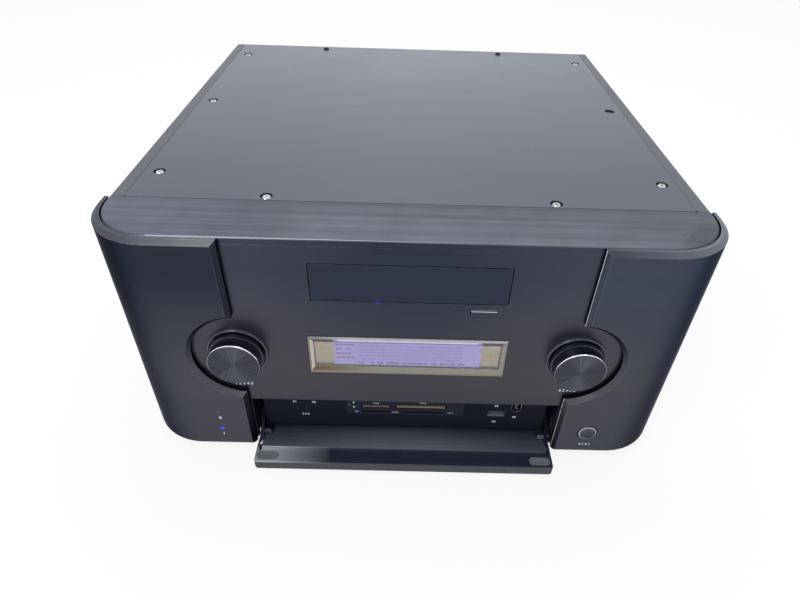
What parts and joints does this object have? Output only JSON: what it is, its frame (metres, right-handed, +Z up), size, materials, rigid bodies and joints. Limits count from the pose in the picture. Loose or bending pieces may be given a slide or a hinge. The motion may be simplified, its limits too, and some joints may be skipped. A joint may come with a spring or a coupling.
{
  "type": "stereo receiver",
  "caption": "Hi-fi width media receiver with wrap-round cheeks, two knobs in round bays, lit display, disc tray and a drop-down door over front sockets",
  "frame": {"origin": "middle of the whole footprint, on the surface that the feet stand on", "axes": "+X to the right seen from the front, +Y to the back, +Z up"},
  "size_m": [0.4328, 0.4466, 0.2154],
  "materials": {
    "black_aluminium": "black anodised, brushed along the width",
    "side_aluminium": "black anodised, fine satin",
    "cover_aluminium": "dark anodised, brushed",
    "black_steel": "black satin powder coat",
    "zinc_steel": "zinc plated sheet",
    "silver_screw": "nickel plated",
    "black_screw": "black oxide",
    "frame_metal": "champagne satin",
    "display_glass": "clear",
    "lit_screen": "lavender, lit",
    "circuit_board": "solder mask",
    "knob_black": "glossy black with a spun face",
    "bright_steel": "turned",
    "black_plastic": "moulded",
    "button_black": "satin",
    "blue_light": "lit",
    "white_plastic": "moulded",
    "rubber": "moulded",
    "foot_metal": "turned",
    "brass": "turned",
    "bare_aluminium": "extruded"
  },
  "bodies": {
    "root": {"base_pan": "black_steel", "left_side_panel": "side_aluminium", "right_side_panel": "side_aluminium", "rear_panel": "black_steel", "top_frame": "black_steel", "top_cover": "cover_aluminium", "cover_screws": "silver_screw", "pan_head_screws": "black_screw", "front_panel": "black_aluminium", "front_top_plate": "black_aluminium", "left_cheek": "black_aluminium", "right_cheek": "black_aluminium", "display_frame": "frame_metal", "display_glass": "display_glass", "display_screen": "lit_screen", "display_module": "circuit_board", "knob_collars": "knob_black", "encoders": "zinc_steel", "button_switches": "circuit_board", "status_lights": "blue_light", "drive_case": "zinc_steel", "drive_brackets": "black_steel", "port_panel": "black_steel", "card_reader": "black_plastic", "usb_sockets": "zinc_steel", "jack_sockets": "black_plastic", "data_socket": "zinc_steel", "hinge_brackets": "black_steel", "hinge_pins": "bright_steel", "feet": "foot_metal", "foot_pads": "rubber", "foot_screws": "silver_screw", "main_board": "circuit_board", "board_standoffs": "brass", "heat_sink": "bare_aluminium", "memory_modules": "circuit_board", "rear_sockets": "black_plastic", "slot_covers": "zinc_steel", "fan_frames": "black_plastic", "psu_case": "zinc_steel", "mains_inlet": "black_plastic", "io_shield": "zinc_steel", "hard_disk": "bare_aluminium", "disk_mounts": "rubber"},
    "tray": {"disc_tray": "black_plastic", "tray_front": "black_aluminium"},
    "gear": {"loading_gear": "white_plastic"},
    "door": {"port_door": "black_aluminium", "strike_plates": "zinc_steel"},
    "left_dial": {"left_knob": "knob_black", "left_shaft": "bright_steel"},
    "right_dial": {"right_knob": "knob_black", "right_shaft": "bright_steel"},
    "power": {"power_button": "button_black"},
    "eject": {"eject_button": "button_black"},
    "reset": {"reset_button": "button_black"},
    "fan_a": {"left_fan_rotor": "black_plastic"},
    "fan_b": {"right_fan_rotor": "black_plastic"},
    "fan_c": {"psu_fan_rotor": "black_plastic"},
    "rocker": {"mains_switch": "button_black"}
  },
  "joints": [
    {"name": "tray_slide", "type": "slide", "parent": "root", "child": "tray", "axis": [0, -1, 0], "range_m": [0, 0.138]},
    {"name": "gear_turn", "type": "hinge", "parent": "root", "child": "gear", "pos_m": [-0.0364, -0.17275, 0.172], "axis": [0, 0, 1], "range_deg": [0, 825]},
    {"name": "door_hinge", "type": "hinge", "parent": "root", "child": "door", "pos_m": [0, -0.18125, 0.031], "axis": [-1, 0, 0], "range_deg": [0, 90]},
    {"name": "left_knob_turn", "type": "hinge", "parent": "root", "child": "left_dial", "pos_m": [-0.1246, -0.19775, 0.114], "axis": [0, -1, 0], "continuous": true},
    {"name": "right_knob_turn", "type": "hinge", "parent": "root", "child": "right_dial", "pos_m": [0.1246, -0.19775, 0.114], "axis": [0, -1, 0], "continuous": true},
    {"name": "power_press", "type": "slide", "parent": "root", "child": "power", "axis": [0, 1, 0], "range_m": [0, 0.0012], "stiffness_N_per_m": 400, "springref_m": -0.001},
    {"name": "eject_press", "type": "slide", "parent": "root", "child": "eject", "axis": [0, 1, 0], "range_m": [0, 0.0012], "stiffness_N_per_m": 400, "springref_m": -0.001},
    {"name": "reset_press", "type": "slide", "parent": "root", "child": "reset", "axis": [0, 1, 0], "range_m": [0, 0.0012], "stiffness_N_per_m": 400, "springref_m": -0.001},
    {"name": "left_fan_spin", "type": "hinge", "parent": "root", "child": "fan_a", "pos_m": [-0.0107, 0.20225, 0.1135], "axis": [0, 1, 0], "continuous": true},
    {"name": "right_fan_spin", "type": "hinge", "parent": "root", "child": "fan_b", "pos_m": [0.0697, 0.20225, 0.1135], "axis": [0, 1, 0], "continuous": true},
    {"name": "psu_fan_spin", "type": "hinge", "parent": "root", "child": "fan_c", "pos_m": [0.1555, 0.20225, 0.112], "axis": [0, 1, 0], "continuous": true},
    {"name": "rocker_tip", "type": "hinge", "parent": "root", "child": "rocker", "pos_m": [0.1735, 0.21775, 0.042], "axis": [1, 0, 0], "range_deg": [-24, 0]}
  ],
  "couplings": [
    {"joint": "gear_turn", "follows": "tray_slide", "rad_per_m": 104.17}
  ]
}
